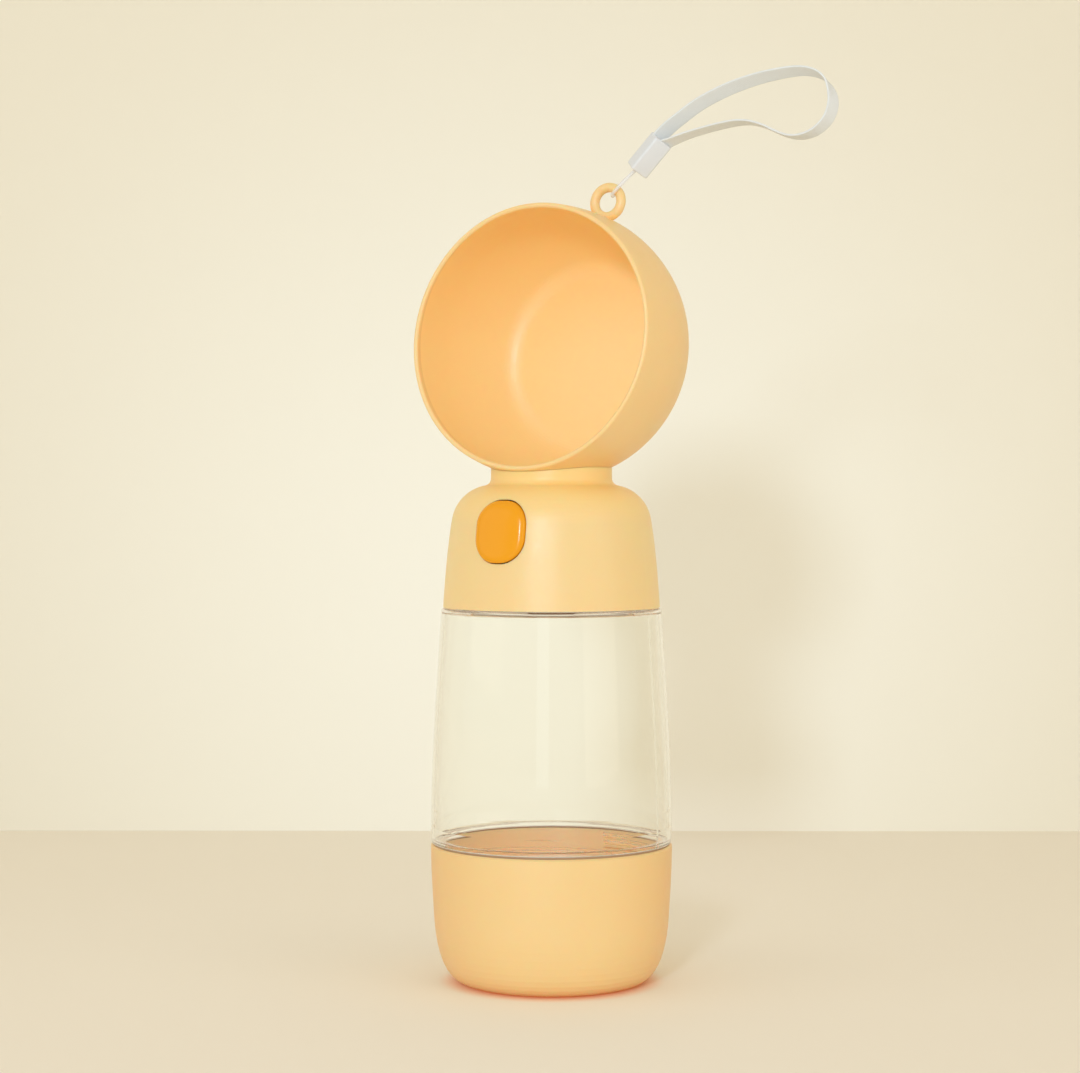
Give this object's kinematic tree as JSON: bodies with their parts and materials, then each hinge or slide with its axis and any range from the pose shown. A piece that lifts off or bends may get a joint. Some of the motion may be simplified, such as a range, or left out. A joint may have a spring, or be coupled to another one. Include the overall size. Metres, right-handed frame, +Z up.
{
  "type": "dog travel water bottle",
  "caption": "Push-button travel water bottle for dogs, with a drinking bowl on top, a clear screw-on water tank, a screw-on food cup below and a wrist strap.",
  "frame": {"origin": "centre of the base, on the bottle's axis, at the height it stands on", "axes": "+Z up along the bottle; -Y is the front, where the button and the bowl's opening are; +X is to the right seen from the front"},
  "size_m": [0.1295, 0.0724, 0.269],
  "materials": {
    "body_shell": "satin",
    "clear_tank": "clear",
    "silicone": "matte",
    "inner_plastic": "satin",
    "button_gloss": "gloss",
    "spring_steel": "bright",
    "strap_fabric": "woven",
    "strap_clip_plastic": "satin"
  },
  "bodies": {
    "cup": {"food_cup": "body_shell"},
    "cup_ring": {"food_cup_seal": "silicone"},
    "tank": {"water_tank": "clear_tank"},
    "neck_ring": {"neck_seal": "silicone"},
    "head": {"valve_chassis": "inner_plastic", "upper_housing": "body_shell", "drinking_bowl": "body_shell", "outlet_seal": "silicone", "plunger_seal": "silicone", "seal_cap": "inner_plastic", "button_spring": "spring_steel", "valve_spring": "spring_steel"},
    "button": {"push_button": "button_gloss", "button_plunger": "inner_plastic"},
    "valve": {"valve_stem": "inner_plastic", "valve_plug": "silicone", "plug_retainer": "inner_plastic"},
    "strap": {"strap_cord": "strap_fabric", "strap_clip": "strap_clip_plastic", "strap_ribbon": "strap_fabric"}
  },
  "joints": [
    {"name": "tank_lift", "type": "slide", "parent": "cup", "child": "cup_ring", "axis": [0, 0, 1], "range_m": [0, 0.008]},
    {"name": "tank_turn", "type": "hinge", "parent": "cup_ring", "child": "tank", "pos_m": [0, 0, 0.0421], "axis": [0, 0, 1], "range_deg": [0, 720]},
    {"name": "head_lift", "type": "slide", "parent": "tank", "child": "neck_ring", "axis": [0, 0, 1], "range_m": [0, 0.009]},
    {"name": "head_turn", "type": "hinge", "parent": "neck_ring", "child": "head", "pos_m": [0, 0, 0.122], "axis": [0, 0, 1], "range_deg": [0, 810]},
    {"name": "button_press", "type": "slide", "parent": "head", "child": "button", "axis": [0, 1, 0], "range_m": [0, 0.003], "stiffness_N_per_m": 800, "springref_m": -0.003, "deforming": ["button_spring"]},
    {"name": "valve_open", "type": "slide", "parent": "head", "child": "valve", "axis": [0, 0, -1], "range_m": [0, 0.0024], "deforming": ["valve_spring"]},
    {"name": "strap_swing", "type": "hinge", "parent": "head", "child": "strap", "pos_m": [0.01642, 0.00516, 0.23309], "axis": [0, -0.9925, 0.1219], "range_deg": [-65, 110]}
  ],
  "couplings": [
    {"joint": "tank_lift", "follows": "tank_turn", "m_per_rad": 0.00063662},
    {"joint": "head_lift", "follows": "head_turn", "m_per_rad": 0.00063662},
    {"joint": "valve_open", "follows": "button_press", "ratio": 0.8}
  ]
}
